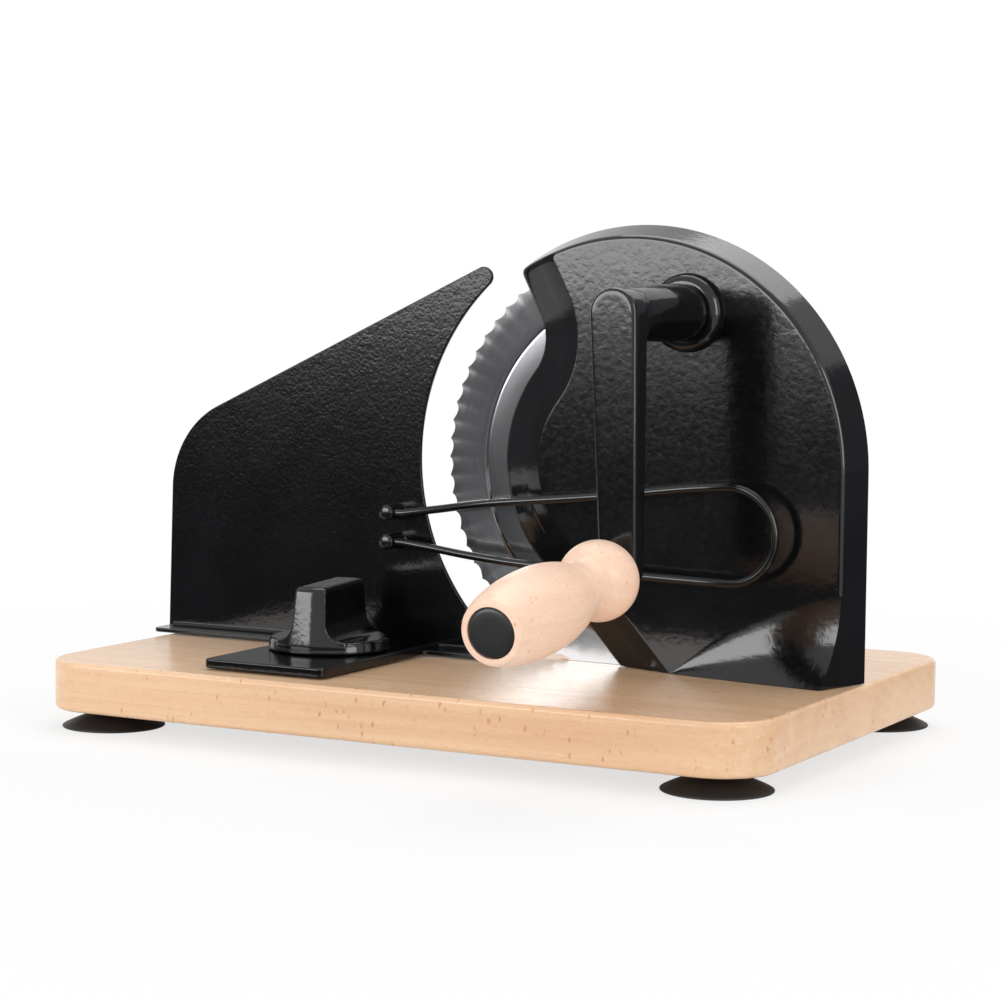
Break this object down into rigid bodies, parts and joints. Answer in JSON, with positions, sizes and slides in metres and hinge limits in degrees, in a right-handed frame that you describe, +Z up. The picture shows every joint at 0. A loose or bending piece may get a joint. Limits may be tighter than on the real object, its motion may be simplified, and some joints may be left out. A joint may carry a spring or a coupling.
{
  "type": "manual bread slicer",
  "caption": "Hand-cranked bread slicer: a toothed round blade in a cast housing on a beech board, with a knob-set stop plate, a wire guard and suction feet.",
  "frame": {"origin": "middle of the bounding box's bottom: the worktop's level, under the middle of the box that also holds the crank's handle", "axes": "+X along the board toward the crank's end, +Y away from the person who turns the crank, +Z up"},
  "size_m": [0.347, 0.302, 0.2219],
  "materials": {
    "beech": "oiled, satin",
    "beech_turned": "clear lacquer, satin",
    "black_cast": "gloss black enamel with a fine orange peel",
    "black_plastic": "satin",
    "rubber": "matt",
    "bright_steel": "ground in circles",
    "steel": "zinc plated",
    "bronze": "machined",
    "gear_plastic": "natural nylon",
    "slide_plastic": "natural acetal"
  },
  "bodies": {
    "base": {"board": "beech", "foot_front_left": "rubber", "foot_front_right": "rubber", "foot_back_left": "rubber", "foot_back_right": "rubber", "foot_screw_1": "steel", "foot_screw_2": "steel", "foot_screw_3": "steel", "foot_screw_4": "steel", "housing": "black_cast", "housing_screw_1": "steel", "housing_screw_2": "steel", "housing_screw_3": "steel", "crank_bush": "bronze", "blade_axle": "steel", "axle_washer": "steel", "axle_screw": "steel", "guide_channel": "steel", "channel_screw_1": "steel", "channel_screw_2": "steel", "cam_pin": "steel"},
    "blade": {"blade": "bright_steel", "blade_gear": "gear_plastic", "blade_bush": "bronze", "blade_screw_1": "steel", "blade_screw_2": "steel", "blade_screw_3": "steel"},
    "crank": {"crank": "black_cast", "crank_shaft": "steel", "crank_pinion": "gear_plastic", "handle_bolt": "steel"},
    "handle": {"handle_grip": "beech_turned", "handle_plug": "black_plastic", "handle_bush": "bronze"},
    "carriage": {"stop_plate": "black_cast", "slide_block": "slide_plastic", "block_screw_1": "steel", "block_screw_2": "steel", "wire_guard": "black_cast", "guard_post_lower": "black_cast", "guard_post_upper": "black_cast"},
    "knob": {"knob": "black_cast", "knob_spindle": "steel", "cam_disc": "steel"}
  },
  "joints": [
    {"name": "crank_spin", "type": "hinge", "parent": "base", "child": "crank", "pos_m": [0.09565, 0.03604, 0.18437], "axis": [0, 1, 0], "continuous": true},
    {"name": "blade_spin", "type": "hinge", "parent": "base", "child": "blade", "pos_m": [0.0685, 0.03604, 0.1185], "axis": [0, 1, 0], "continuous": true},
    {"name": "handle_spin", "type": "hinge", "parent": "crank", "child": "handle", "pos_m": [0.09907, -0.04396, 0.08143], "axis": [0.004, -0.9925, -0.1218], "continuous": true},
    {"name": "stop_slide", "type": "slide", "parent": "base", "child": "carriage", "axis": [0, -1, 0], "range_m": [-0.0075, 0.0075]},
    {"name": "knob_turn", "type": "hinge", "parent": "carriage", "child": "knob", "pos_m": [-0.0565, -0.01046, 0.0305], "axis": [0, 0, 1], "range_deg": [-135, 135]}
  ],
  "couplings": [
    {"joint": "blade_spin", "follows": "crank_spin", "ratio": -0.48438},
    {"joint": "stop_slide", "follows": "knob_turn", "m_per_rad": 0.0031831}
  ]
}
